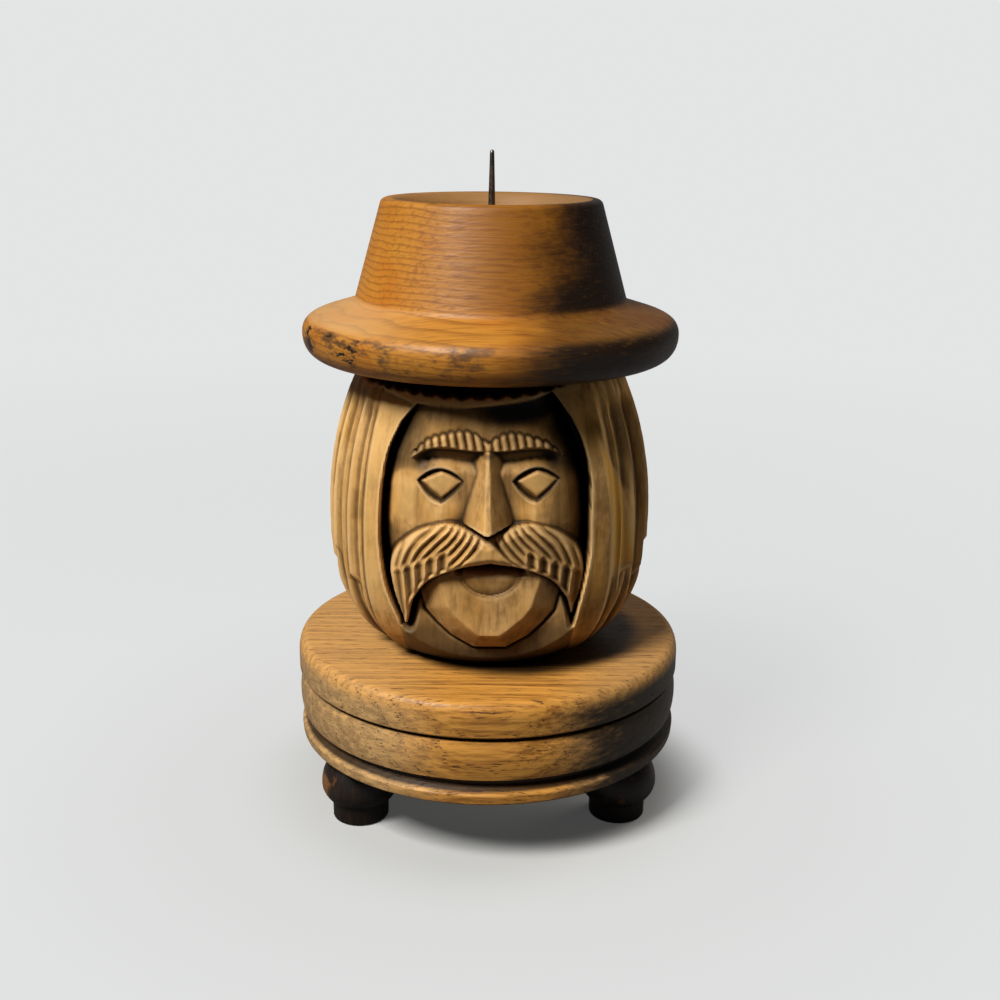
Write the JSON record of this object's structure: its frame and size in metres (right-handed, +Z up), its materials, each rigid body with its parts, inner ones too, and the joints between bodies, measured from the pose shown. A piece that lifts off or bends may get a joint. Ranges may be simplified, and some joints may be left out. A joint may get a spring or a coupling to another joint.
{
  "type": "carved figural candlestick",
  "caption": "Wooden pricket candlestick: a carved, moustached head in a turned hat with a candle dish and spike, on a round turned base with ball feet.",
  "frame": {"origin": "on the surface that the feet stand on, at the middle of the round base", "axes": "+Z up through the spike, -Y the way the face looks, +X to the right as seen from the front"},
  "size_m": [0.1264, 0.1264, 0.2117],
  "materials": {
    "hat_wood": "satin orange-brown stain, worn, with dark patina",
    "head_wood": "knife-carved, thinly stained, dark in the cuts",
    "base_oak": "satin oak, honey brown, dark pores and grooves",
    "foot_stain": "near-black stain, rubbed through in places",
    "spike_steel": "darkened steel",
    "dowel_beech": "raw beech",
    "screw_steel": "plain steel"
  },
  "bodies": {
    "root": {"turned_hat": "hat_wood", "pricket_spike": "spike_steel", "hat_dowel": "dowel_beech", "carved_head": "head_wood", "base_screw": "screw_steel", "turned_base": "base_oak", "foot_front_left": "foot_stain", "foot_front_right": "foot_stain", "foot_back": "foot_stain"}
  },
  "joints": []
}
